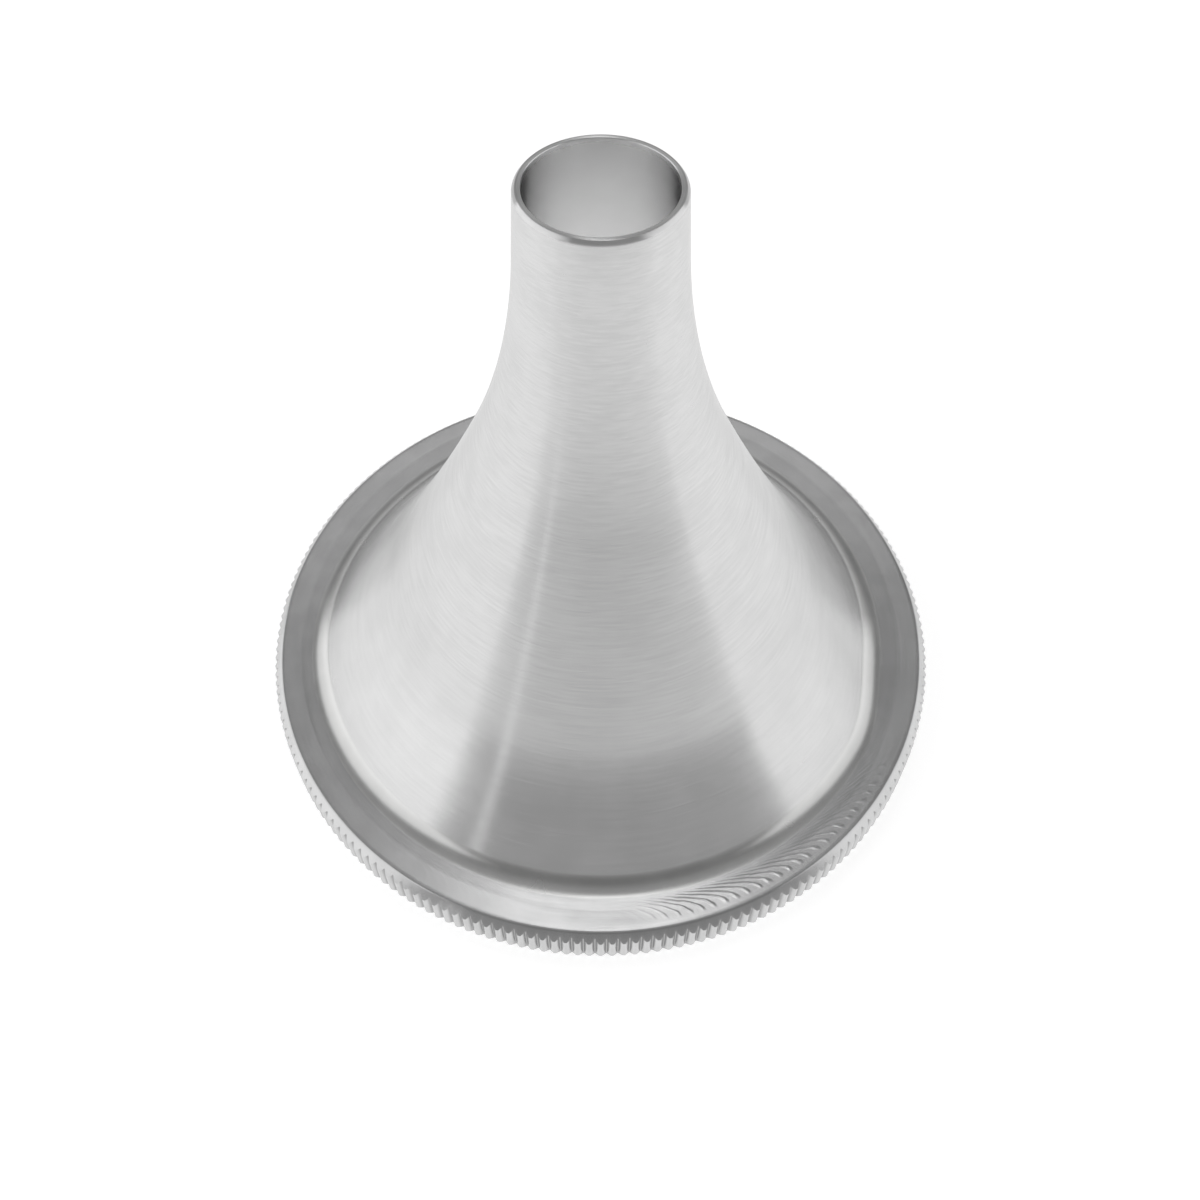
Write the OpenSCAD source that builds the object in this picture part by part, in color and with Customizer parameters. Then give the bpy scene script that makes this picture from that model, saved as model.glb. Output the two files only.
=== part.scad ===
// Conical ear speculum, standing on its wide mouth with the tip up.
// Three pieces: a thin trumpet funnel, a turned ring with a straight-knurled edge round its
// mouth, and the ring of solder that joins them. The axis is Z, and Z = 0 is the ring's underside.
// Every outline is drawn in the half plane X = radius, Y = height, and then revolved.

/* [Overall] */
// Height from the ring's underside to the tip
height = 28; // [26:0.5:32]

/* [Tip] */
// Outside diameter of the tip
tip_d = 6; // [5.4:0.1:7]
// Thickness of the sheet at the tip
tip_wall = 0.3; // [0.25:0.05:0.45]
// Length of the parallel lumen
lumen_l = 2; // [1.5:0.1:2.4]
// Radius of the rounded outer edge of the tip
tip_round = 0.2; // [0.1:0.01:0.24]

/* [Tube and bell] */
// Angle of the tapered tube to the axis, in degrees
tube_angle = 3.4; // [2:0.2:5]
// Length of the straight taper below the tip
tube_l = 2.9; // [2:0.1:4]
// Angle to the axis where the neck's arc ends, in degrees
neck_angle = 24; // [20:0.2:25]
// Angle to the axis where the long flare ends, in degrees
flare_angle = 30; // [27:0.2:31]
// Radius of the arc that spreads the bell's mouth
spread_r = 25; // [20:0.5:28]
// Angle to the axis where the bell turns down into its skirt, in degrees
mouth_angle = 42.8; // [38:0.2:46]
// Height of that shoulder above the channel's floor
shoulder_up = 0.15; // [0.1:0.01:0.3]
// Inside radius of the bend into the skirt
bend_r = 0.5; // [0.2:0.05:0.8]
// Thickness of the sheet in the bell
bell_wall = 0.45; // [0.35:0.05:0.6]

/* [Ring] */
// Diameter over the crests of the knurl
rim_d = 32.5; // [30:0.1:34]
// Width of the ring, from its edge to the bore that holds the bell's skirt
ring_w = 2.9; // [2.6:0.1:3.2]
// Thickness of the ring from its underside to its lip
rim_h = 2; // [1.6:0.1:3]
// Width of the bevel at the ring's upper edge
bevel = 0.38; // [0.2:0.02:0.44]
// Width of the bevel at the ring's lower edge
foot_bevel = 0.2; // [0.1:0.02:0.3]
// Width of the flat lip between the bevel and the channel
lip_w = 0.16; // [0.1:0.01:0.3]
// Depth of the shallow channel below the lip
channel_depth = 0.08; // [0.04:0.01:0.2]
// Width of the slope from the lip down to the channel's floor
channel_slope = 0.16; // [0.1:0.01:0.3]

/* [Knurl] */
// Pitch of the straight knurl along the ring's edge
knurl_pitch = 0.5; // [0.45:0.01:0.8]
// Depth of the grooves
knurl_depth = 0.18; // [0.1:0.01:0.22]
// Width of the flat left on each crest
crest_w = 0.11; // [0.06:0.01:0.2]

/* [Solder] */
// Gap between the bell's skirt and the ring's bore, filled by the solder's film
solder_gap = 0.06; // [0.04:0.01:0.1]
// How far the fillet climbs the bell above the channel's floor
fillet_climb = 0.45; // [0.35:0.05:0.6]
// How far the fillet spreads over the channel's floor, from the ring's bore
fillet_spread = 0.68; // [0.5:0.02:0.9]
// Radius of the fillet's hollow face
fillet_r = 1.6; // [1.5:0.1:3]
// How far the film stops short of the ring's underside
film_end = 0.15; // [0.05:0.05:0.4]

/* [Hidden] */
$fn = 96;

// How far a cutting shape passes the face that it cuts
over = 0.2;

// Arcs of the funnel's walls: each point is [radius, height], and each angle is to the axis
function arc_end(p, r, from, to) =
    [p[0] + r * (cos(from) - cos(to)), p[1] - r * (sin(to) - sin(from))];
function arc_centre(p, r, angle) = [p[0] + r * cos(angle), p[1] + r * sin(angle)];
function on_arc(centre, r, angle) = [centre[0] - r * cos(angle), centre[1] - r * sin(angle)];

// The radii of the neck's arc and the flare's arc that bring a wall, tangent all the way, from its
// start at the foot of a tube to the end of the flare
function wall_radii(start, angle, end) =
    let (
        out = end[0] - start[0],
        down = start[1] - end[1],
        neck_out = cos(angle) - cos(neck_angle),
        neck_down = sin(neck_angle) - sin(angle),
        flare_out = cos(neck_angle) - cos(flare_angle),
        flare_down = sin(flare_angle) - sin(neck_angle),
        both = neck_out * flare_down - flare_out * neck_down
    )
    [(out * flare_down - flare_out * down) / both, (neck_out * down - neck_down * out) / both];

// Ring and its bore
rim_r = rim_d / 2;
bore_r = rim_r - ring_w;
floor_y = rim_h - channel_depth;
lip_r = rim_r - bevel - lip_w;
teeth = round(PI * rim_d / knurl_pitch);
crest_turn = crest_w / (PI * rim_d) * 360;

// Outside of the funnel, from the tip down to the skirt
out_tip = [tip_d / 2, height];
out_tube = out_tip + tube_l * [sin(tube_angle), -cos(tube_angle)];
shoulder = [bore_r - solder_gap, floor_y + shoulder_up];
out_flare = arc_end(shoulder, spread_r, mouth_angle, flare_angle);
spread_centre = arc_centre(shoulder, spread_r, mouth_angle);
out_radii = wall_radii(out_tube, tube_angle, out_flare);
out_neck = arc_end(out_tube, out_radii[0], tube_angle, neck_angle);

// Inside of the funnel: the bell's mouth lies bell_wall inside the outer one, and the lumen is
// parallel
skirt_r = shoulder[0] - bell_wall;
in_lumen = [tip_d / 2 - tip_wall, height - lumen_l];
in_spread_r = spread_r + bell_wall;
in_flare = on_arc(spread_centre, in_spread_r, flare_angle);
in_radii = wall_radii(in_lumen, 0, in_flare);
in_neck = arc_end(in_lumen, in_radii[0], 0, neck_angle);

// The bend from the inside of the mouth into the skirt
bend_angle = acos((spread_centre[0] - skirt_r + bend_r) / (in_spread_r + bend_r));
bend_centre = on_arc(spread_centre, in_spread_r + bend_r, bend_angle);
in_bend = on_arc(spread_centre, in_spread_r, bend_angle);
bend_corner = [skirt_r, in_bend[1] - (skirt_r - in_bend[0]) / tan(bend_angle)];

// Fillet of solder, from the channel's floor up to the bell
fillet_foot = [bore_r + fillet_spread, floor_y];
fillet_top_y = floor_y + fillet_climb;
fillet_top_out = sqrt(pow(spread_r, 2) - pow(spread_centre[1] - fillet_top_y, 2));
fillet_top = [spread_centre[0] - fillet_top_out, fillet_top_y];
fillet_chord = norm(fillet_foot - fillet_top);
fillet_mid = (fillet_foot + fillet_top) / 2;
fillet_out = [fillet_top[1] - fillet_foot[1], fillet_foot[0] - fillet_top[0]] / fillet_chord;
fillet_centre = fillet_mid + fillet_out * sqrt(pow(fillet_r, 2) - pow(fillet_chord / 2, 2));

// The piece of a disc that hollows the stretch between two points of an outline
module hollow(from, to, centre, r) {
    intersection() {
        translate(centre) circle(r, $fn = 360);
        translate([0, to[1]]) square([centre[0], from[1] - to[1]]);
    }
}

// The full outline of the trumpet's outside, from the axis to its wall
module outside_2d() {
    difference() {
        polygon([
            [0, 0], [shoulder[0], 0], shoulder, out_flare, out_neck, out_tube, out_tip, [0, height]
        ]);
        hollow(out_tube, out_neck, arc_centre(out_tube, out_radii[0], tube_angle), out_radii[0]);
        hollow(out_neck, out_flare, arc_centre(out_neck, out_radii[1], neck_angle), out_radii[1]);
        hollow(out_flare, shoulder, spread_centre, spread_r);
        tip_corner_2d();
    }
}

// What the rounding of the tip takes off its outer corner
module tip_corner_2d() {
    centre = out_tip - tip_round * [(1 - sin(tube_angle)) / cos(tube_angle), 1];
    difference() {
        polygon([
            centre + [0, tip_round],
            out_tip,
            centre + tip_round * [cos(tube_angle), sin(tube_angle)]
        ]);
        translate(centre) circle(tip_round);
    }
}

// The outline of the hollow through it, passing both ends
module inside_2d() {
    difference() {
        polygon([
            [0, -over], [skirt_r, -over], bend_corner, in_bend, in_flare, in_neck, in_lumen,
            [in_lumen[0], height + over], [0, height + over]
        ]);
        hollow(in_lumen, in_neck, arc_centre(in_lumen, in_radii[0], 0), in_radii[0]);
        hollow(in_neck, in_flare, arc_centre(in_neck, in_radii[1], neck_angle), in_radii[1]);
        hollow(in_flare, in_bend, spread_centre, in_spread_r);
        bend_corner_2d();
    }
}

// What the bend into the skirt leaves of the hollow's corner
module bend_corner_2d() {
    difference() {
        polygon([in_bend, [skirt_r, bend_centre[1]], bend_corner]);
        translate(bend_centre) circle(bend_r);
    }
}

// The trumpet of sheet steel: tapered tube, neck, flared bell and short skirt in one
module funnel() {
    color("#c9cbcc")
        rotate_extrude()
            difference() {
                outside_2d();
                inside_2d();
            }
}

// The ring's section, with plain edges that pass the crests of the knurl
module rim_2d() {
    polygon([
        [bore_r, 0],
        [rim_r - foot_bevel, 0],
        [rim_r + over, foot_bevel + over],
        [rim_r + over, rim_h - bevel - over],
        [rim_r - bevel, rim_h],
        [lip_r, rim_h],
        [lip_r - channel_slope, floor_y],
        [bore_r, floor_y]
    ]);
}

// The star of the knurl: a flat crest and a sharp root for each tooth
module knurl_2d() {
    root_r = rim_r - knurl_depth;
    step = 360 / teeth;
    polygon([
        for (i = [0 : teeth - 1])
            for (p = [[rim_r, -crest_turn / 2], [rim_r, crest_turn / 2], [root_r, step / 2]])
                p[0] * [cos(i * step + p[1]), sin(i * step + p[1])]
    ]);
}

// The turned ring: the bevels cut the knurl's grooves off as pointed arches
module milled_rim() {
    color("#b4b7b9")
        intersection() {
            rotate_extrude() rim_2d();
            linear_extrude(rim_h) knurl_2d();
        }
}

// The solder: its film between skirt and bore, and the hollow-faced fillet above it
module solder_fillet() {
    color("#d6d6d2")
        rotate_extrude()
            difference() {
                polygon([
                    [skirt_r, film_end], [bore_r, film_end], [bore_r, floor_y], fillet_foot,
                    fillet_top, [fillet_top[0] - bell_wall / 2, fillet_top[1]], [skirt_r, floor_y]
                ]);
                outside_2d();
                translate(fillet_centre) circle(fillet_r, $fn = 180);
            }
}

funnel();
milled_rim();
solder_fillet();
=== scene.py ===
"""Ear speculum in brushed steel: a trumpet funnel soldered into a ring with a knurled edge.

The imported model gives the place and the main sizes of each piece. Every piece here is turned round
the Z axis from an outline in the half plane of radius and height, in metres, and stands on Z = 0.
"""

import math

import bpy
from bpy.props import FloatProperty, FloatVectorProperty, IntProperty, PointerProperty
from bpy.types import Operator, Panel, PropertyGroup
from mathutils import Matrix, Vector


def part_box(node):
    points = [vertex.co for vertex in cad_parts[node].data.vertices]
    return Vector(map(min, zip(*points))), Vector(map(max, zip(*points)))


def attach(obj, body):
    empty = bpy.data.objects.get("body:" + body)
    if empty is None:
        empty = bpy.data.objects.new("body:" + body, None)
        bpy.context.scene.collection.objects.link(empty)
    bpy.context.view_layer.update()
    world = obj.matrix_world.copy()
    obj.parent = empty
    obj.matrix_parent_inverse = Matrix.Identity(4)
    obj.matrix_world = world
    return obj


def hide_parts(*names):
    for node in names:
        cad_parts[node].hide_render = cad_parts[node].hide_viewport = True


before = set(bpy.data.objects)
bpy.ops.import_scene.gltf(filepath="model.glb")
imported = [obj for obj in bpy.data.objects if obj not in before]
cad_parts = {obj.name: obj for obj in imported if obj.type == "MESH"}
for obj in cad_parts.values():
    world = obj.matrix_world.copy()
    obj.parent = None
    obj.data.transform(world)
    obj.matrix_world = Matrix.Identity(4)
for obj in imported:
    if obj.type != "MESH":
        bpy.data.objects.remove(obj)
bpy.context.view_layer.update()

bl_info = {
    "name": "Ear speculum",
    "version": (1, 0, 0),
    "blender": (4, 5, 0),
    "location": "3D View > Sidebar > Speculum",
    "description": "Builds an ear speculum of three soldered pieces, and a plain studio round it",
    "category": "Add Mesh",
}

MM = 0.001
BODY = "root"
TRUMPET_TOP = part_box("funnel")[1]
RING_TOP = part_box("milled_rim")[1]

# Steps along the arcs of the trumpet's walls, and along a worn corner
NECK_STEPS = 40
FLARE_STEPS = 16
MOUTH_STEPS = 24
WORN_STEPS = 4

# Where the mouth's fullness comes in and goes out, in degrees round from the front
FULL_FROM = (-135.0, -80.0)
FULL_TO = (58.0, 80.0)

# Height above the shoulder up to which the fullness is whole
FULL_ABOVE = 0.5 * MM

# How far under the shoulder the skirt is straight
SKIRT_DROP = 0.12 * MM

# Wear on the upper and the lower corner of the tip's bevel
LIP_WEAR = (0.03 * MM, 0.05 * MM)

# How much wider than the lip's edges the foot of the channel's slope is rounded
SLOPE_EASE = 8

# How far down a flank the wear of a crest goes, as a share of that wear
CREST_WEAR = 0.6

# How far a groove's root is filled by its rounding, as a share of that rounding
ROOT_FILL = 0.3

# How far the fillet's edge laps into the bell: inwards, and down
SOLDER_LAP = (0.1 * MM, 0.05 * MM)

# Steps down the fillet's hollow face
FILLET_STEPS = 24

# The bend at which two faces meet in a sharp edge
SHARP = math.radians(32)

# How much the larger faces rule the shading of the corners that they share, where 50 is evenly
LARGE_FACES_RULE = 80


def length(name, value, description):
    """A property that holds a length in metres, given in millimetres."""
    return FloatProperty(
        name=name,
        description=description,
        default=value * MM,
        min=0.0,
        precision=5,
        unit="LENGTH",
        subtype="DISTANCE",
    )


def turn(name, degrees, description):
    """A property that holds an angle, given in degrees."""
    return FloatProperty(
        name=name,
        description=description,
        default=math.radians(degrees),
        unit="ROTATION",
        subtype="ANGLE",
    )


def factor(name, value, description, high=1.0):
    """A property that holds a plain number from nothing to high."""
    return FloatProperty(
        name=name, description=description, default=value, min=0.0, max=high, subtype="FACTOR"
    )


def tint(name, value, description):
    """A property that holds a colour, in linear light."""
    return FloatVectorProperty(
        name=name,
        description=description,
        default=value,
        size=3,
        min=0.0,
        max=1.0,
        subtype="COLOR",
    )


class TrumpetSizes(PropertyGroup):
    height: length("Height", TRUMPET_TOP.z / MM, "From the foot of the ring to the tip")
    mouth: length("Mouth radius", TRUMPET_TOP.x / MM, "Outside radius of the bell's skirt")
    tip: length("Tip radius", 3.0, "Outside radius of the tip")
    lumen: length("Lumen radius", 2.7, "Inside radius of the tip")
    lumen_length: length("Lumen length", 2.0, "Length of the parallel lumen at the tip")
    lip_bevel: length("Lip bevel", 0.11, "Width of the soft bevel on the tip's outer edge")
    lip_bevel_height: length("Lip bevel height", 0.14, "Height of the same bevel")
    lumen_round: length("Inner lip", 0.05, "Radius of the broken inner edge of the tip")
    tube_length: length("Tube length", 2.9, "Length of the straight taper below the tip")
    tube_angle: turn("Tube angle", 3.4, "Angle of the tapered tube to the axis")
    neck_angle: turn("Neck angle", 24.0, "Angle to the axis where the neck's arc ends")
    flare_angle: turn("Flare angle", 30.0, "Angle to the axis where the long flare ends")
    mouth_angle: turn("Mouth angle", 42.8, "Angle to the axis where the bell meets its skirt")
    spread_radius: length("Spread radius", 25.0, "Radius of the arc that spreads the bell's mouth")
    shoulder: length(
        "Shoulder", RING_TOP.z / MM + 0.07, "Height where the bell turns down into its short skirt"
    )
    bend_round: length("Bend", 0.5, "Inside radius of the bend into the skirt")
    wall: length("Wall", 0.45, "Thickness of the sheet in the bell")
    fullness: length("Fullness", 0.47, "How far the hand-spun mouth stands out at the front")
    fullness_top: length("Top of fullness", 7.0, "Height where the mouth starts to stand out")
    facets: IntProperty(
        name="Facets", description="Faces round the trumpet", default=480, min=32, max=1024
    )


class RingSizes(PropertyGroup):
    radius: length("Radius", RING_TOP.x / MM, "Radius over the crests of the knurl")
    height: length("Height", RING_TOP.z / MM, "Thickness of the ring at its lip")
    width: length("Width", 2.9, "Width of the ring, from its edge to its bore")
    bevel: length("Bevel", 0.38, "Width of the upper bevel")
    foot_bevel: length("Foot bevel", 0.2, "Width of the lower bevel")
    lip: length("Lip", 0.16, "Width of the flat lip inside the bevel")
    channel_depth: length("Channel depth", 0.03, "Depth of the channel below the lip")
    channel_slope: length("Channel slope", 0.8, "Width of the slope from the lip to the channel")
    edge_round: length("Edge rounding", 0.18, "Rounding of the lip's two edges")
    teeth: IntProperty(name="Teeth", description="Teeth of the knurl", default=204, min=12)
    knurl_depth: length("Knurl depth", 0.18, "Depth of the knurl's grooves")
    crest: length("Crest", 0.12, "Width of the flat left on each crest")
    root_round: length("Root rounding", 0.03, "Half the width of each groove's rounded root")
    crest_round: length("Crest rounding", 0.02, "Wear on the edges of each crest")


class SolderSizes(PropertyGroup):
    climb: length("Climb", 0.45, "How far the fillet climbs the bell above the channel")
    front_climb: length("Front climb", 0.4, "The same where the bell's mouth stands out")
    film_end: length("Film end", 0.15, "How far the film stops short of the ring's foot")
    facets: IntProperty(
        name="Facets", description="Faces round the fillet", default=512, min=32, max=1024
    )


class Finishes(PropertyGroup):
    sheet: tint("Sheet steel", (0.715, 0.715, 0.715), "Colour of the brushed trumpet")
    # The inside's paler colour is painted light, which brightens the inside of the funnel
    hollow: tint("Inside", (0.81, 0.81, 0.81), "Colour of the trumpet's polished inside")
    sheet_roughness: factor("Sheet roughness", 0.235, "Roughness of the brushed trumpet")
    turned: tint("Turned steel", (0.61, 0.61, 0.612), "Colour of the ring")
    # The grooves' darker colour is painted shade on the knurl's deep upright faces
    groove: tint("Grooves", (0.37, 0.37, 0.37), "Colour of the steel deep in the knurl")
    turned_roughness: factor("Ring roughness", 0.25, "Roughness of the turned ring")
    solder: tint("Solder", (0.67, 0.67, 0.665), "Colour of the rubbed solder")
    solder_roughness: factor("Solder roughness", 0.26, "Roughness of the rubbed solder")
    brushing: factor("Brushing", 0.38, "Strength of the brush lines round the trumpet")
    chatter: factor("Chatter", 0.65, "Strength of the cutter marks in the channel")


class Studio(PropertyGroup):
    floor: tint("Floor", (0.85, 0.85, 0.85), "Colour of the pale floor")
    floor_glow: factor("Floor whiteness", 0.66, "What is added to the floor's own light")
    floor_in_metal: factor("Floor in metal", 1.0, "How white the floor looks in the metal")
    front: tint("Front wall", (0.5, 0.5, 0.5), "Colour of the room behind the camera")
    back: tint("Back wall", (0.55, 0.55, 0.55), "Colour of the room behind the object")
    ceiling: tint("Ceiling", (0.21, 0.21, 0.21), "Colour of the room above the walls")
    zenith: tint("Zenith", (0.36, 0.36, 0.36), "Colour of the room straight overhead")
    lamp_level: factor("Lamp level", 1.0, "Level of all the lamps", high=4.0)
    lens: FloatProperty(
        name="Lens", description="Focal length of the camera", default=36.1, unit="CAMERA"
    )
    rise: FloatProperty(
        name="Rise", description="How far the lens shifts the picture upwards", default=0.0545
    )
    pitch: turn("Pitch", 52.18, "How far the camera looks down")
    camera_back: length("Camera back", 33.77, "How far the camera stands in front of the axis")
    camera_up: length("Camera height", 52.515, "How high the camera stands")
    camera_left: length("Camera left", 0.03, "How far the camera stands left of the axis")


# Outlines


def bend(start, radius, first, last, steps):
    """Points of a wall that bends outwards from start: first and last are its angles to the
    axis. The start itself is left out."""
    points = []
    for step in range(1, steps + 1):
        angle = first + (last - first) * step / steps
        points.append(
            (
                start[0] + radius * (math.cos(first) - math.cos(angle)),
                start[1] - radius * (math.sin(angle) - math.sin(first)),
            )
        )
    return points


def arc(centre, radius, first, last, steps):
    """Points of an arc round a centre, both ends included."""
    return [
        (
            centre[0] + radius * math.cos(first + (last - first) * step / steps),
            centre[1] + radius * math.sin(first + (last - first) * step / steps),
        )
        for step in range(steps + 1)
    ]


def straight(start, end, steps):
    """Points along a line, with its end and without its start."""
    return [
        (
            start[0] + (end[0] - start[0]) * step / steps,
            start[1] + (end[1] - start[1]) * step / steps,
        )
        for step in range(1, steps + 1)
    ]


def softened(before, corner, after, reach):
    """A corner worn round: its points start at reach before it and end at reach after it."""
    points = []
    for step in range(WORN_STEPS + 1):
        part = step / WORN_STEPS
        weights = ((1 - part) ** 2, part**2)
        point = [corner[0], corner[1]]
        for weight, other in zip(weights, (before, after)):
            away = math.dist(corner, other)
            point[0] += weight * reach * (other[0] - corner[0]) / away
            point[1] += weight * reach * (other[1] - corner[1]) / away
        points.append(tuple(point))
    return points


def spread_centre(sizes):
    """Centre of the arc that spreads the bell's mouth."""
    return (
        sizes.mouth + sizes.spread_radius * math.cos(sizes.mouth_angle),
        sizes.shoulder + sizes.spread_radius * math.sin(sizes.mouth_angle),
    )


def on_spread(sizes, radius, angle):
    """The point at an angle to the axis on an arc round the same centre."""
    centre = spread_centre(sizes)
    return (centre[0] - radius * math.cos(angle), centre[1] - radius * math.sin(angle))


def ease(value, low, high):
    """A smooth step from nothing at low to one at high."""
    step = min(1.0, max(0.0, (value - low) / (high - low)))
    return step * step * (3.0 - 2.0 * step)


def frontness(angle):
    """How much of the bell's fullness shows at an angle round the axis: all of it from the left
    round the front to the right, and none at the back."""
    azimuth = (math.degrees(angle) + 270.0) % 360.0 - 180.0
    return ease(azimuth, *FULL_FROM) * (1.0 - ease(azimuth, *FULL_TO))


def wall_radii(start, angle, end, sizes):
    """Radii of the neck's arc and the flare's arc that bring a wall, tangent all the way, from
    the foot of its tube to the end of the flare."""
    out, down = end[0] - start[0], start[1] - end[1]
    neck_out = math.cos(angle) - math.cos(sizes.neck_angle)
    neck_down = math.sin(sizes.neck_angle) - math.sin(angle)
    flare_out = math.cos(sizes.neck_angle) - math.cos(sizes.flare_angle)
    flare_down = math.sin(sizes.flare_angle) - math.sin(sizes.neck_angle)
    both = neck_out * flare_down - flare_out * neck_down
    return (
        (out * flare_down - flare_out * down) / both,
        (neck_out * down - neck_down * out) / both,
    )


def wall_outline(start, angle, offset, sizes):
    """One wall of the trumpet, from the foot of its tube to where the mouth's arc starts:
    offset is how far it lies inside the outer one."""
    end = on_spread(sizes, sizes.spread_radius + offset, sizes.flare_angle)
    neck, flare = wall_radii(start, angle, end, sizes)
    points = bend(start, neck, angle, sizes.neck_angle, NECK_STEPS)
    return points + bend(points[-1], flare, sizes.neck_angle, sizes.flare_angle, FLARE_STEPS)


def stand_out(sizes, height, share):
    """How far the mouth's fullness moves the bell's outside at a height."""
    low = sizes.shoulder + FULL_ABOVE
    return sizes.fullness * share * (1.0 - ease(height, low, sizes.fullness_top))


def outer_wall(sizes, share):
    """The foot of the tube, and the trumpet's outside from there down to the mouth."""
    tube_foot = (
        sizes.tip + sizes.tube_length * math.sin(sizes.tube_angle),
        sizes.height - sizes.tube_length * math.cos(sizes.tube_angle),
    )
    points = wall_outline(tube_foot, sizes.tube_angle, 0.0, sizes)
    points += bend(
        points[-1], sizes.spread_radius, sizes.flare_angle, sizes.mouth_angle, MOUTH_STEPS
    )
    points = [(radius + stand_out(sizes, height, share), height) for radius, height in points]
    return tube_foot, points + [(sizes.mouth, sizes.shoulder - SKIRT_DROP), (sizes.mouth, 0.0)]


def inner_wall(sizes):
    """The foot of the lumen, and the trumpet's inside from there down to the mouth."""
    lumen_foot = (sizes.lumen, sizes.height - sizes.lumen_length)
    points = wall_outline(lumen_foot, 0.0, sizes.wall, sizes)
    inner = sizes.spread_radius + sizes.wall
    skirt = sizes.mouth - sizes.wall
    reach = inner + sizes.bend_round
    last = math.acos((spread_centre(sizes)[0] - skirt + sizes.bend_round) / reach)
    points += bend(points[-1], inner, sizes.flare_angle, last, MOUTH_STEPS)
    points += arc(on_spread(sizes, reach, last), sizes.bend_round, last, 0.0, steps=8)[1:]
    return lumen_foot, points + [(skirt, 0.0)]


def trumpet_section(sizes, share):
    """The closed outline of the trumpet's wall: up the inside, over the lip, down the outside,
    with a share of the mouth's fullness."""
    tube_foot, outside = outer_wall(sizes, share)
    lumen_foot, inside = inner_wall(sizes)
    bevel_top = (sizes.tip - sizes.lip_bevel, sizes.height)
    bevel_foot = (
        sizes.tip + sizes.lip_bevel_height * math.tan(sizes.tube_angle),
        sizes.height - sizes.lip_bevel_height,
    )
    flat = (sizes.lumen + sizes.lumen_round, sizes.height)
    lip = softened(flat, bevel_top, bevel_foot, LIP_WEAR[0])
    lip += softened(bevel_top, bevel_foot, tube_foot, LIP_WEAR[1])
    inner_lip = arc(
        (sizes.lumen + sizes.lumen_round, sizes.height - sizes.lumen_round),
        sizes.lumen_round,
        math.pi,
        math.pi / 2,
        steps=4,
    )
    return (
        inside[::-1]
        + [lumen_foot]
        + inner_lip
        + lip
        + straight(lip[-1], tube_foot, steps=4)
        + outside
    )


def channel_floor(sizes):
    """Height of the channel's floor."""
    return sizes.height - sizes.channel_depth


def ring_section(sizes, wall_radius):
    """The closed outline of the ring where its edge stands at wall_radius."""
    bevel_top = sizes.radius - sizes.bevel
    lip_inside = bevel_top - sizes.lip
    floor = channel_floor(sizes)
    floor_edge = lip_inside - sizes.channel_slope
    bore_foot = (sizes.radius - sizes.width, 0.0)
    bore_top = (bore_foot[0], floor)
    foot_edge = sizes.radius - sizes.foot_bevel
    wall_foot = (wall_radius, wall_radius - foot_edge)
    wall_top = (wall_radius, sizes.height - (wall_radius - bevel_top))
    round_off = sizes.edge_round
    eighth = math.pi / 4
    back = round_off * math.tan(eighth / 2)
    outer_edge = arc(
        (bevel_top - back, sizes.height - round_off), round_off, eighth, 2 * eighth, steps=3
    )
    slope = math.atan2(sizes.channel_depth, sizes.channel_slope)
    back = round_off * math.tan(slope / 2)
    inner_edge = arc(
        (lip_inside + back, sizes.height - round_off),
        round_off,
        math.pi / 2,
        math.pi / 2 + slope,
        steps=3,
    )
    hollow = SLOPE_EASE * round_off
    back = hollow * math.tan(slope / 2)
    slope_foot = arc(
        (floor_edge - back, floor + hollow), hollow, slope - math.pi / 2, -math.pi / 2, steps=4
    )
    return (
        [bore_foot]
        + straight(bore_foot, (foot_edge, 0.0), steps=4)
        + [wall_foot]
        + straight(wall_foot, wall_top, steps=4)
        + outer_edge
        + inner_edge
        + slope_foot
        + straight(slope_foot[-1], bore_top, steps=12)
        + straight(bore_top, bore_foot, steps=2)[:-1]
    )


def knurl_turns(sizes):
    """Each column of the ring as (angle round the axis, radius of the edge there)."""
    pitch = 2 * math.pi / sizes.teeth
    root = sizes.radius - sizes.knurl_depth
    crest = sizes.crest / 2 / sizes.radius
    wear = sizes.crest_round / sizes.radius
    flank = (sizes.radius - root) / (pitch / 2 - crest)
    half = (
        (crest - wear, sizes.radius),
        (crest + CREST_WEAR * wear, sizes.radius - CREST_WEAR * wear * flank),
        ((crest + pitch / 2) / 2, (sizes.radius + root) / 2),
        (pitch / 2 - sizes.root_round / root, root + ROOT_FILL * sizes.root_round),
    )
    columns = []
    for tooth in range(sizes.teeth):
        middle = tooth * pitch
        columns += [(middle - angle, radius) for angle, radius in half[::-1]]
        columns += [(middle + angle, radius) for angle, radius in half]
        columns.append((middle + pitch / 2, root))
    return columns


def solder_section(trumpet, ring, solder, share):
    """The closed outline of the solder: its film in the joint, and above it the fillet, which
    runs smoothly out of the bell and into the channel's floor."""
    floor = channel_floor(ring)
    bore = ring.radius - ring.width
    climb = solder.climb + (solder.front_climb - solder.climb) * share
    top = floor + climb
    lean = math.asin((spread_centre(trumpet)[1] - top) / trumpet.spread_radius)
    start = on_spread(trumpet, trumpet.spread_radius, lean)
    start = (start[0] + stand_out(trumpet, top, share), top)
    hollow = climb / (1.0 - math.sin(lean))
    fillet = bend(start, hollow, lean, math.pi / 2, FILLET_STEPS)
    under = (trumpet.mouth, trumpet.shoulder - SKIRT_DROP)
    return (
        [(trumpet.mouth, solder.film_end), (bore, solder.film_end), (bore, floor)]
        + fillet[::-1]
        + [start, (start[0] - SOLDER_LAP[0], start[1] - SOLDER_LAP[1]), under]
    )


# Meshes


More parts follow.
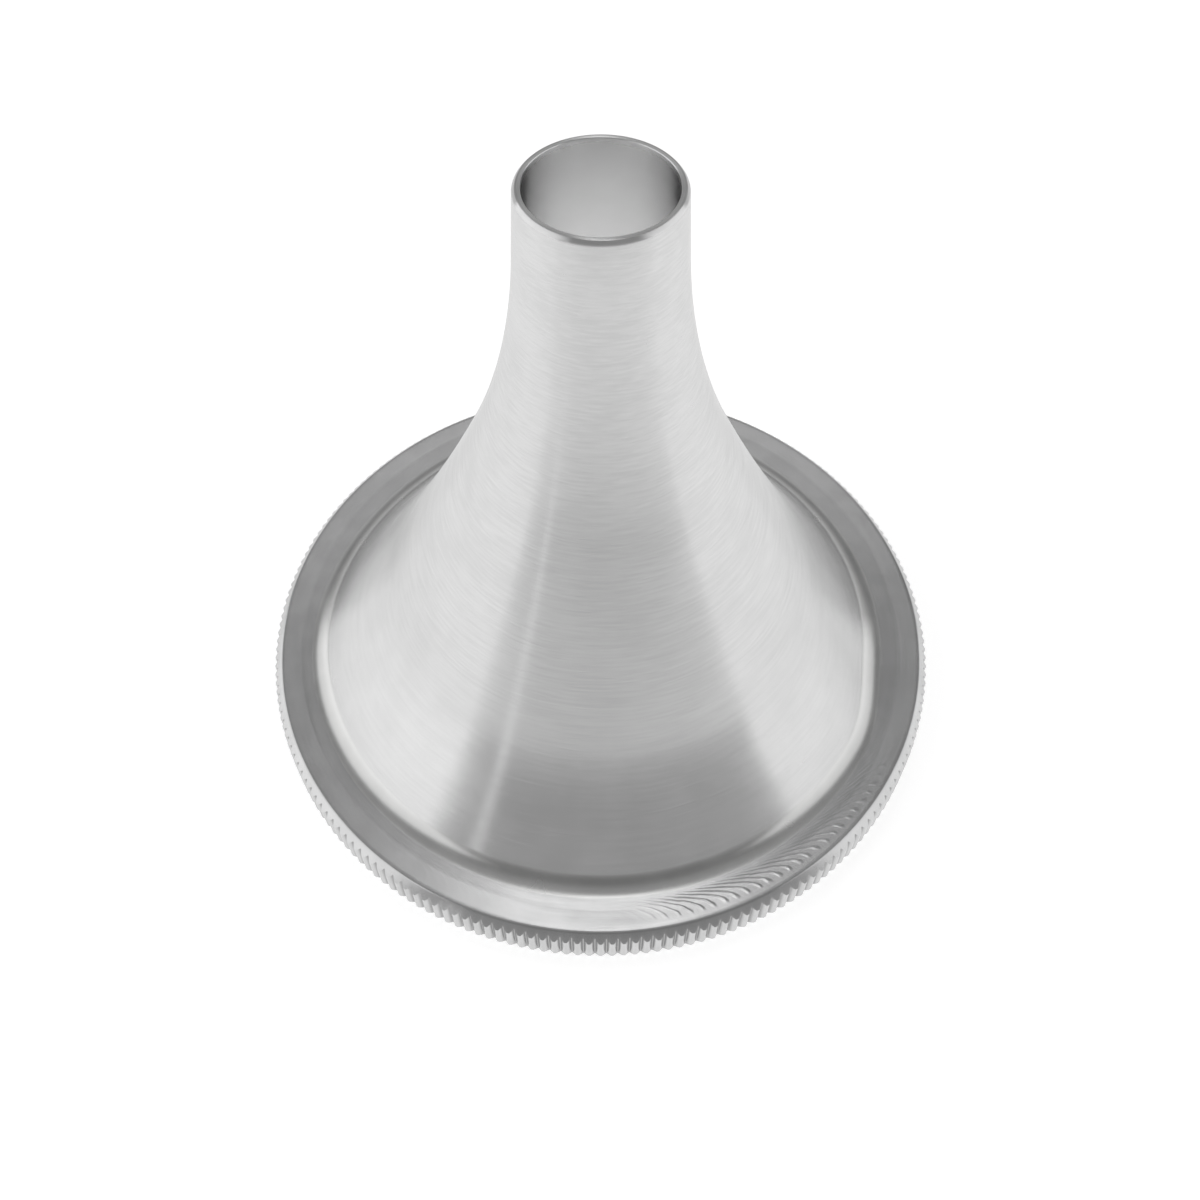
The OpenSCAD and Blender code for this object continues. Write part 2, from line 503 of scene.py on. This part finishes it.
def spin(name, columns):
    """A closed skin over columns of (angle, outline), each outline a closed loop."""
    points = len(columns[0][1])
    vertices = [
        (radius * math.cos(angle), radius * math.sin(angle), height)
        for angle, outline in columns
        for radius, height in outline
    ]
    faces = []
    for column in range(len(columns)):
        here, there = column * points, (column + 1) % len(columns) * points
        for point in range(points):
            after = (point + 1) % points
            faces.append((here + point, there + point, there + after, here + after))
    mesh = bpy.data.meshes.new(name)
    mesh.from_pydata(vertices, [], faces)
    mesh.shade_smooth()
    mesh.set_sharp_from_angle(angle=SHARP)
    return mesh


def show(name, mesh, material, node):
    """Puts a finished mesh in the scene in the place of its CAD node."""
    old = bpy.data.objects.get(name)
    if old:
        bpy.data.objects.remove(old)
    piece = bpy.data.objects.new(name, mesh)
    bpy.context.scene.collection.objects.link(piece)
    mesh.materials.append(material)
    normals = piece.modifiers.new("Flat faces keep flat", "WEIGHTED_NORMAL")
    normals.keep_sharp = True
    normals.weight = LARGE_FACES_RULE
    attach(piece, BODY)
    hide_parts(node)


# Finishes


# How the nodes of a finish are laid out in its editor
NODE_WIDTH = 220
NODE_HEIGHT = 260
NODES_IN_ROW = 12

# The values between which most of a noise lies
NOISE_RANGE = (0.3, 0.7)

# How far the shine's stretch is turned from the brush lines, as a share of a whole turn
QUARTER_TURN = 0.25


class Finish:
    """The node tree of one finish, with short calls for the nodes that it needs."""

    def __init__(self, holder):
        self.holder = holder
        holder.use_nodes = True
        self.tree = holder.node_tree
        self.tree.nodes.clear()

    def add(self, kind, inputs=None, **settings):
        made = self.tree.nodes.new(kind)
        row, column = divmod(len(self.tree.nodes), NODES_IN_ROW)
        made.location = (NODE_WIDTH * column, -NODE_HEIGHT * row)
        for name, value in settings.items():
            setattr(made, name, value)
        for socket, value in (inputs or {}).items():
            if isinstance(value, bpy.types.NodeSocket):
                self.tree.links.new(value, made.inputs[socket])
            else:
                made.inputs[socket].default_value = value
        return made

    def calc(self, operation, *values):
        return self.add("ShaderNodeMath", dict(enumerate(values)), operation=operation).outputs[0]

    def vector(self, operation, *values, scale=None):
        inputs = dict(enumerate(values))
        if scale is not None:
            inputs["Scale"] = scale
        made = self.add("ShaderNodeVectorMath", inputs, operation=operation)
        return made.outputs["Value" if operation in ("LENGTH", "DOT_PRODUCT") else "Vector"]

    def span(self, value, low, high, to_low=0.0, to_high=1.0):
        made = self.add(
            "ShaderNodeMapRange",
            {"Value": value, 1: low, 2: high, 3: to_low, 4: to_high},
            interpolation_type="SMOOTHSTEP",
        )
        return made.outputs["Result"]

    def noise(self, place, detail=2.0):
        inputs = {"Vector": place, "Scale": 1.0, "Detail": detail}
        return self.add("ShaderNodeTexNoise", inputs).outputs["Fac"]

    def blend(self, share, first, second):
        made = self.add(
            "ShaderNodeMix", {"Factor": share, 6: first, 7: second}, data_type="RGBA"
        )
        return made.outputs[2]

    def varied(self, tone, colour, spread):
        """A colour that a noise makes darker and paler by a spread."""
        return self.blend(
            self.span(tone, *NOISE_RANGE), grey(colour, 1.0 - spread), grey(colour, 1.0 + spread)
        )

    def wander(self, noise, middle, travel):
        """A value that wanders with a noise: travel is how far it goes in all."""
        return self.calc("MULTIPLY_ADD", noise, travel, middle - travel / 2)

    def around(self):
        """Millimetres along each axis, the direction from the axis, and the radius."""
        place = self.add("ShaderNodeTexCoord").outputs["Object"]
        place = self.vector("SCALE", place, scale=1 / MM)
        level = self.vector("MULTIPLY", place, (1.0, 1.0, 0.0))
        split = self.add("ShaderNodeSeparateXYZ", {0: place})
        return (
            place,
            split.outputs,
            self.vector("NORMALIZE", level),
            self.vector("LENGTH", level),
        )

    def facing_in(self, direction):
        """One where the surface faces the axis, and nothing where it faces outwards."""
        normal = self.add("ShaderNodeTexCoord").outputs["Normal"]
        return self.calc("LESS_THAN", self.vector("DOT_PRODUCT", normal, direction), 0.0)

    def strokes(self, direction, along, length_count, width_count, detail=2.0):
        """Noise drawn out into lines round the axis: length_count lines to a radian, and
        width_count lines to a millimetre along the outline."""
        drawn = self.vector("SCALE", direction, scale=length_count)
        across = self.add(
            "ShaderNodeCombineXYZ", {2: self.calc("MULTIPLY", along, width_count)}
        ).outputs[0]
        return self.noise(self.vector("ADD", drawn, across), detail)

    def metal(self, colour, roughness, height, bump, anisotropy):
        """Brushed metal, its lines running round the axis: bump is the height of its relief in
        millimetres."""
        lay = self.add("ShaderNodeTangent", direction_type="RADIAL", axis="Z").outputs[0]
        normal = self.add(
            "ShaderNodeBump", {"Height": height, "Distance": bump * MM, "Strength": 1.0}
        ).outputs[0]
        shader = self.add(
            "ShaderNodeBsdfPrincipled",
            {
                "Base Color": colour,
                "Metallic": 1.0,
                "Roughness": roughness,
                "Anisotropic": anisotropy,
                "Anisotropic Rotation": QUARTER_TURN,
                "Tangent": lay,
                "Normal": normal,
            },
        )
        self.add("ShaderNodeOutputMaterial", {"Surface": shader.outputs[0]})
        return self.holder


def grey(colour, level=1.0):
    """A colour at another level, with the alpha that a socket wants."""
    return (*(min(1.0, channel * level) for channel in colour), 1.0)


# Heights in millimetres between which the colour of the brush lines comes in, and how much of it
# shows below them
LINES_RISE = (4.0, 12.0)
LINES_BELOW = 0.4

# How much of the colour's unevenness comes from the brush lines
LINES_TONE = 0.6

# The part of the noise that leaves a scratch, and the relief of a scratch
SCRATCHES = (0.64, 0.74)
SCRATCH_RELIEF = -0.6

# How far under the tip, in millimetres, its rougher lip starts and is whole, and how rough it is
LIP_START = 0.25
LIP_WHOLE = 0.1
LIP_ROUGHER = 1.15


def satin_sheet_steel(look, sizes):
    """Sheet steel, brushed round the axis with a fine satin belt."""
    steel = Finish(bpy.data.materials.new("satin_sheet_steel"))
    place, axes, direction, _ = steel.around()
    fine = steel.strokes(direction, axes["Z"], length_count=4.5, width_count=11.0)
    streaks = steel.strokes(direction, axes["Z"], length_count=3.0, width_count=2.5, detail=3.0)
    cloud = steel.noise(steel.vector("SCALE", place, scale=0.5))
    sparse = steel.strokes(direction, axes["Z"], length_count=5.0, width_count=13.0, detail=1.0)
    scratch = steel.span(sparse, *SCRATCHES)
    shown = steel.span(axes["Z"], *LINES_RISE, LINES_BELOW, 1.0)
    lines = steel.calc("MULTIPLY", steel.calc("SUBTRACT", fine, 0.5), shown)
    patches = steel.wander(cloud, middle=0.5, travel=0.5)
    tone = steel.calc("MULTIPLY_ADD", lines, LINES_TONE, patches)
    colour = steel.varied(tone, look.sheet, spread=0.045)
    # Painted light: faces turned to the axis take the paler inside colour, which brightens the
    # funnel's inside
    colour = steel.blend(steel.facing_in(direction), colour, grey(look.hollow))
    rough = steel.wander(streaks, look.sheet_roughness, travel=0.06)
    rough = steel.calc("MULTIPLY_ADD", cloud, 0.04, rough)
    top = sizes.height / MM
    lip = steel.span(axes["Z"], top - LIP_START, top - LIP_WHOLE, 1.0, LIP_ROUGHER)
    rough = steel.calc("MULTIPLY", rough, lip)
    scratched = steel.calc("MULTIPLY", scratch, SCRATCH_RELIEF)
    height = steel.calc("MULTIPLY_ADD", fine, look.brushing, scratched)
    return steel.metal(colour, rough, height, bump=0.0024, anisotropy=0.95)


# Cutter marks: how many would go round, the radius in millimetres where they run out, the power of
# their curve, and how many degrees they trail at a millimetre inside that radius
CHATTER_COUNT = 180
CHATTER_END = 15.56
CHATTER_CURVE = 2.2
CHATTER_TRAIL = 7.5

# Radii in millimetres, and degrees round from the front, between which they come in and go out
CHATTER_INNER = (14.4, 14.8)
CHATTER_OUTER = (15.6, 15.3)
CHATTER_FROM = (3.0, 20.0)
CHATTER_TO = (64.0, 48.0)

# Where a ridge starts and where it is highest, in pitches from the middle of the gap before it
CHATTER_RIDGE = (0.24, 0.5)

# How strong they are elsewhere round the channel
CHATTER_FAINT = 0.02

# Relief of the marks at full strength, and of the tool's fine lines
CHATTER_RELIEF = 5.0
TOOL_RELIEF = 0.3

DEGREES = 180 / math.pi


def chatter(steel, place, axes, radius):
    """Cutter marks in the channel: fine ridges that start along the channel's inner side and
    curve out to the lip, strong at the front right and faint elsewhere."""
    forwards = steel.calc("MULTIPLY", axes["Y"], -1.0)
    azimuth = steel.calc("MULTIPLY", steel.calc("ARCTAN2", axes["X"], forwards), DEGREES)
    inwards = steel.calc("MAXIMUM", steel.calc("SUBTRACT", CHATTER_END, radius), 0.0)
    trail = steel.calc("MULTIPLY", steel.calc("POWER", inwards, CHATTER_CURVE), CHATTER_TRAIL)
    uneven = steel.noise(steel.vector("SCALE", place, scale=1.6), detail=1.0)
    phase = steel.calc("MULTIPLY", steel.calc("ADD", azimuth, trail), CHATTER_COUNT / 360)
    phase = steel.calc("MULTIPLY_ADD", uneven, 0.5, phase)
    ridge = steel.span(steel.calc("PINGPONG", phase, 0.5), *CHATTER_RIDGE)
    inside = steel.calc(
        "MULTIPLY", steel.span(radius, *CHATTER_INNER), steel.span(radius, *CHATTER_OUTER)
    )
    strong = steel.calc(
        "MULTIPLY", steel.span(azimuth, *CHATTER_FROM), steel.span(azimuth, *CHATTER_TO)
    )
    force = steel.calc("MULTIPLY_ADD", strong, 1.0 - CHATTER_FAINT, CHATTER_FAINT)
    return steel.calc("MULTIPLY", steel.calc("MULTIPLY", ridge, inside), force)


# Depths in millimetres under the crests where the painted shade of the grooves starts, and where it
# is full
GROOVE_SHADE_START = 0.04
GROOVE_SHADE_FULL = 0.15

# How much of a face's normal may point up or down for it to stand upright: not at all, and wholly
UPRIGHT = (0.4, 0.1)


def painted_groove_shade(steel, radius, sizes):
    """One on the upright faces deep in the knurl, where the darker groove colour is painted shade,
    and nothing on its crests and on the faces that lie or slope."""
    crests = sizes.radius / MM
    normal = steel.add("ShaderNodeTexCoord").outputs["Normal"]
    up = steel.add("ShaderNodeSeparateXYZ", {0: normal}).outputs["Z"]
    upright = steel.span(steel.calc("ABSOLUTE", up), *UPRIGHT)
    deep = steel.span(radius, crests - GROOVE_SHADE_START, crests - GROOVE_SHADE_FULL)
    return steel.calc("MULTIPLY", deep, upright)


def turned_steel(look, sizes):
    """Turned steel: fine lines left by the tool, cutter marks in the channel, and painted shade
    that makes the knurl's grooves darker than its crests."""
    steel = Finish(bpy.data.materials.new("turned_steel"))
    place, axes, direction, radius = steel.around()
    along = steel.calc("SUBTRACT", axes["Z"], radius)
    lines = steel.strokes(direction, along, length_count=2.0, width_count=16.0)
    streaks = steel.strokes(direction, along, length_count=3.0, width_count=4.0)
    cloud = steel.noise(steel.vector("SCALE", place, scale=0.7))
    colour = steel.varied(cloud, look.turned, spread=0.04)
    # Painted shade: the knurl's deep upright faces take the darker groove colour
    colour = steel.blend(painted_groove_shade(steel, radius, sizes), colour, grey(look.groove))
    rough = steel.wander(streaks, look.turned_roughness, travel=0.08)
    strength = look.chatter * CHATTER_RELIEF
    marks = steel.calc("MULTIPLY", chatter(steel, place, axes, radius), strength)
    height = steel.calc("MULTIPLY_ADD", lines, TOOL_RELIEF, marks)
    return steel.metal(colour, rough, height, bump=0.003, anisotropy=0.6)


def polished_solder(look):
    """Silver solder, rubbed smooth round the joint."""
    solder = Finish(bpy.data.materials.new("polished_solder"))
    place, axes, direction, radius = solder.around()
    along = solder.calc("SUBTRACT", axes["Z"], radius)
    rubbed = solder.strokes(direction, along, length_count=4.0, width_count=5.0)
    cloud = solder.noise(solder.vector("SCALE", place, scale=0.6))
    colour = solder.varied(cloud, look.solder, spread=0.03)
    rough = solder.wander(cloud, look.solder_roughness, travel=0.06)
    return solder.metal(colour, rough, rubbed, bump=0.0015, anisotropy=0.4)


# Operators


class SPECULUM_OT_trumpet(Operator):
    """Builds the trumpet of sheet steel: tapered tube, neck and flared bell in one"""

    bl_idname = "speculum.trumpet"
    bl_label = "Build the trumpet"

    def execute(self, context):
        sizes = context.scene.speculum_trumpet
        turns = [2 * math.pi * step / sizes.facets for step in range(sizes.facets)]
        columns = [(angle, trumpet_section(sizes, frontness(angle))) for angle in turns]
        mesh = spin("trumpet", columns)
        look = context.scene.speculum_finishes
        show("trumpet", mesh, satin_sheet_steel(look, sizes), "funnel")
        return {"FINISHED"}


class SPECULUM_OT_ring(Operator):
    """Builds the turned ring, its knurl cut off by the bevels as pointed arches"""

    bl_idname = "speculum.ring"
    bl_label = "Build the knurled ring"

    def execute(self, context):
        sizes = context.scene.speculum_ring
        columns = [(angle, ring_section(sizes, radius)) for angle, radius in knurl_turns(sizes)]
        mesh = spin("knurled_ring", columns)
        look = context.scene.speculum_finishes
        show("knurled_ring", mesh, turned_steel(look, sizes), "milled_rim")
        return {"FINISHED"}


class SPECULUM_OT_solder(Operator):
    """Builds the solder that joins the trumpet to its ring"""

    bl_idname = "speculum.solder"
    bl_label = "Build the solder"

    def execute(self, context):
        scene = context.scene
        sizes = scene.speculum_solder
        turns = [2 * math.pi * step / sizes.facets for step in range(sizes.facets)]
        columns = [
            (
                angle,
                solder_section(
                    scene.speculum_trumpet, scene.speculum_ring, sizes, frontness(angle)
                ),
            )
            for angle in turns
        ]
        mesh = spin("solder_joint", columns)
        look = scene.speculum_finishes
        show("solder_joint", mesh, polished_solder(look), "solder_fillet")
        return {"FINISHED"}


# Each lamp: name, azimuth from the camera's side and elevation in degrees, distance, width and
# height in metres, and brightness where 1 is white
LAMPS = (
    ("left_softbox", -88.0, 27.0, 0.5, 0.72, 0.5, 0.8),
    ("left_strip", -38.5, 11.0, 0.5, 0.03, 0.17, 0.65),
    ("right_softbox", 90.5, 25.0, 0.5, 0.58, 0.45, 0.7),
    ("overhead_panel", 180.0, 69.5, 0.5, 0.085, 0.21, 1.85),
    ("back_panel", -176.0, 47.0, 0.5, 0.4, 0.13, 0.28),
)


def towards(azimuth, elevation):
    """The direction at an azimuth from the camera's side, and an elevation."""
    azimuth, elevation = math.radians(azimuth), math.radians(elevation)
    return Vector(
        (
            math.sin(azimuth) * math.cos(elevation),
            -math.cos(azimuth) * math.cos(elevation),
            math.sin(elevation),
        )
    )


def place_lamp(name, azimuth, elevation, distance, width, height, brightness):
    """A rectangular soft lamp that faces the object."""
    lamp = bpy.data.lights.new(name, "AREA")
    lamp.shape = "RECTANGLE"
    lamp.size, lamp.size_y = width, height
    lamp.energy = brightness * math.pi * width * height
    holder = bpy.data.objects.new(name, lamp)
    bpy.context.scene.collection.objects.link(holder)
    holder.location = towards(azimuth, elevation) * distance
    holder.rotation_euler = holder.location.to_track_quat("Z", "Y").to_euler()


def seen_by(finish, *rays):
    """One where a ray of one of these kinds looks, and nothing elsewhere."""
    path = finish.add("ShaderNodeLightPath").outputs
    seen = path[rays[0]]
    for ray in rays[1:]:
        seen = finish.calc("MAXIMUM", seen, path[ray])
    return seen


FLOOR_RADIUS = 3.0
FLOOR_SIDES = 96

# How far the floor lies under the ring
FLOOR_DROP = 0.02 * MM

# Places along Y, in millimetres, between which the floor that the metal sees goes from its greyest
# to white, and how much of the white its greyest has
FLOOR_FADE = (-200.0, -25.0)
FLOOR_FAR = 0.38


def lay_floor(studio):
    """A round pale floor. The camera sees it white with the object's soft shadow, and the metal
    sees it white near the object and greyer towards the camera."""
    rim = [
        (
            FLOOR_RADIUS * math.cos(2 * math.pi * side / FLOOR_SIDES),
            FLOOR_RADIUS * math.sin(2 * math.pi * side / FLOOR_SIDES),
            -FLOOR_DROP,
        )
        for side in range(FLOOR_SIDES)
    ]
    mesh = bpy.data.meshes.new("floor")
    mesh.from_pydata(rim, [], [tuple(range(FLOOR_SIDES))])
    floor = bpy.data.objects.new("floor", mesh)
    bpy.context.scene.collection.objects.link(floor)
    pale = Finish(bpy.data.materials.new("pale_floor"))
    axes = pale.around()[1]
    matt = pale.add("ShaderNodeBsdfDiffuse", {"Color": grey(studio.floor)})
    added = pale.calc(
        "MULTIPLY", seen_by(pale, "Is Camera Ray", "Is Transmission Ray"), studio.floor_glow
    )
    glow = pale.add("ShaderNodeEmission", {"Strength": added})
    lit = pale.add("ShaderNodeAddShader", {0: matt.outputs[0], 1: glow.outputs[0]})
    white = studio.floor_in_metal
    near = pale.span(axes["Y"], *FLOOR_FADE, FLOOR_FAR * white, white)
    mirrored = pale.add("ShaderNodeEmission", {"Strength": near})
    both = pale.add(
        "ShaderNodeMixShader",
        {0: seen_by(pale, "Is Glossy Ray"), 1: lit.outputs[0], 2: mirrored.outputs[0]},
    )
    pale.add("ShaderNodeOutputMaterial", {"Surface": both.outputs[0]})
    mesh.materials.append(pale.holder)


# Where the front wall fades into the back one, the walls into the ceiling and the ceiling into the
# zenith: how far back, or up, a look of length one reaches
WALLS_MEET = (0.1, 0.9)
CEILING_RISE = (0.0, 0.58)
ZENITH_RISE = (0.8, 1.0)


def light_room(studio):
    """A plain grey room: palest behind the object, darkest above the walls, and paler again
    straight overhead."""
    world = bpy.data.worlds.new("room")
    bpy.context.scene.world = world
    room = Finish(world)
    place = room.add("ShaderNodeTexCoord").outputs["Generated"]
    axes = room.add("ShaderNodeSeparateXYZ", {0: place}).outputs
    wall = room.blend(room.span(axes["Y"], *WALLS_MEET), grey(studio.front), grey(studio.back))
    tone = room.blend(room.span(axes["Z"], *CEILING_RISE), wall, grey(studio.ceiling))
    tone = room.blend(room.span(axes["Z"], *ZENITH_RISE), tone, grey(studio.zenith))
    background = room.add("ShaderNodeBackground", {"Color": tone})
    room.add("ShaderNodeOutputWorld", {0: background.outputs[0]})


def stand_camera(studio):
    """The camera, looking down at the speculum from the front."""
    camera = bpy.data.cameras.new("camera")
    camera.lens = studio.lens
    camera.sensor_width = 36.0
    camera.shift_y = -studio.rise
    camera.clip_start = 0.001
    camera.clip_end = 20.0
    holder = bpy.data.objects.new("camera", camera)
    bpy.context.scene.collection.objects.link(holder)
    holder.location = (-studio.camera_left, -studio.camera_back, studio.camera_up)
    holder.rotation_euler = (math.pi / 2 - studio.pitch, 0.0, 0.0)
    bpy.context.scene.camera = holder


class SPECULUM_OT_studio(Operator):
    """Builds the pale floor, the grey room, the soft lamps and the camera"""

    bl_idname = "speculum.studio"
    bl_label = "Build the studio"

    def execute(self, context):
        studio = context.scene.speculum_studio
        lay_floor(studio)
        light_room(studio)
        for name, azimuth, elevation, distance, width, height, brightness in LAMPS:
            place_lamp(
                name, azimuth, elevation, distance, width, height, brightness * studio.lamp_level
            )
        stand_camera(studio)
        context.scene.view_settings.view_transform = "Standard"
        return {"FINISHED"}


class SPECULUM_PT_sidebar(Panel):
    bl_idname = "SPECULUM_PT_sidebar"
    bl_label = "Ear speculum"
    bl_space_type = "VIEW_3D"
    bl_region_type = "UI"
    bl_category = "Speculum"

    def draw(self, context):
        for operator, group in STEPS:
            box = self.layout.box()
            box.operator(operator.bl_idname)
            sizes = getattr(context.scene, group)
            for name in sizes.bl_rna.properties.keys():
                if name not in ("rna_type", "name"):
                    box.prop(sizes, name)
        box = self.layout.box()
        for name in Finishes.__annotations__:
            box.prop(context.scene.speculum_finishes, name)


GROUPS = {
    "speculum_trumpet": TrumpetSizes,
    "speculum_ring": RingSizes,
    "speculum_solder": SolderSizes,
    "speculum_finishes": Finishes,
    "speculum_studio": Studio,
}
STEPS = (
    (SPECULUM_OT_trumpet, "speculum_trumpet"),
    (SPECULUM_OT_ring, "speculum_ring"),
    (SPECULUM_OT_solder, "speculum_solder"),
    (SPECULUM_OT_studio, "speculum_studio"),
)
CLASSES = (*GROUPS.values(), *(operator for operator, group in STEPS), SPECULUM_PT_sidebar)


def register():
    for made in CLASSES:
        bpy.utils.register_class(made)
    for name, group in GROUPS.items():
        setattr(bpy.types.Scene, name, PointerProperty(type=group))


def unregister():
    for name in GROUPS:
        delattr(bpy.types.Scene, name)
    for made in reversed(CLASSES):
        bpy.utils.unregister_class(made)


def main():
    register()
    bpy.ops.speculum.trumpet()
    bpy.ops.speculum.ring()
    bpy.ops.speculum.solder()
    bpy.ops.speculum.studio()


if __name__ == "__main__":
    main()
